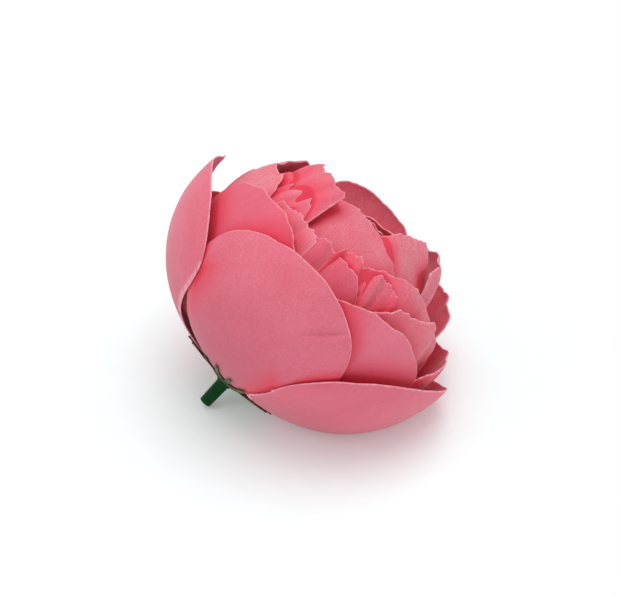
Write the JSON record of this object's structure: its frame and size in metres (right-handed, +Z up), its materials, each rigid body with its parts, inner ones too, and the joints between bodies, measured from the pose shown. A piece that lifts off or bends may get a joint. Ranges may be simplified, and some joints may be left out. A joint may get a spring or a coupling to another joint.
{
  "type": "artificial peony head",
  "caption": "Pink artificial peony head with smooth cupped outer petals, crumpled inner petals, a green star of sepals and a short moulded stem stub, lying on its side.",
  "frame": {"origin": "middle of the flat spot under the bloom, on the surface that the flower lies on", "axes": "+Z up from the surface; +X the way the bloom points, seen from in front, with the stem stub towards -X; +Y away from the viewer"},
  "size_m": [0.0787, 0.0881, 0.0701],
  "materials": {
    "petal_pink": "matte thin foam sheet with a very fine grain",
    "heart_pink": "matte thin foam sheet, crumpled",
    "stem_green": "glossy moulded plastic",
    "calyx_green": "dull moulded plastic, brownish at the sepals' tips"
  },
  "bodies": {
    "root": {"stem_stub": "stem_green", "calyx": "calyx_green", "outer_petals": "petal_pink", "second_petals": "petal_pink", "third_petals": "heart_pink", "heart_petals": "heart_pink"}
  },
  "joints": []
}
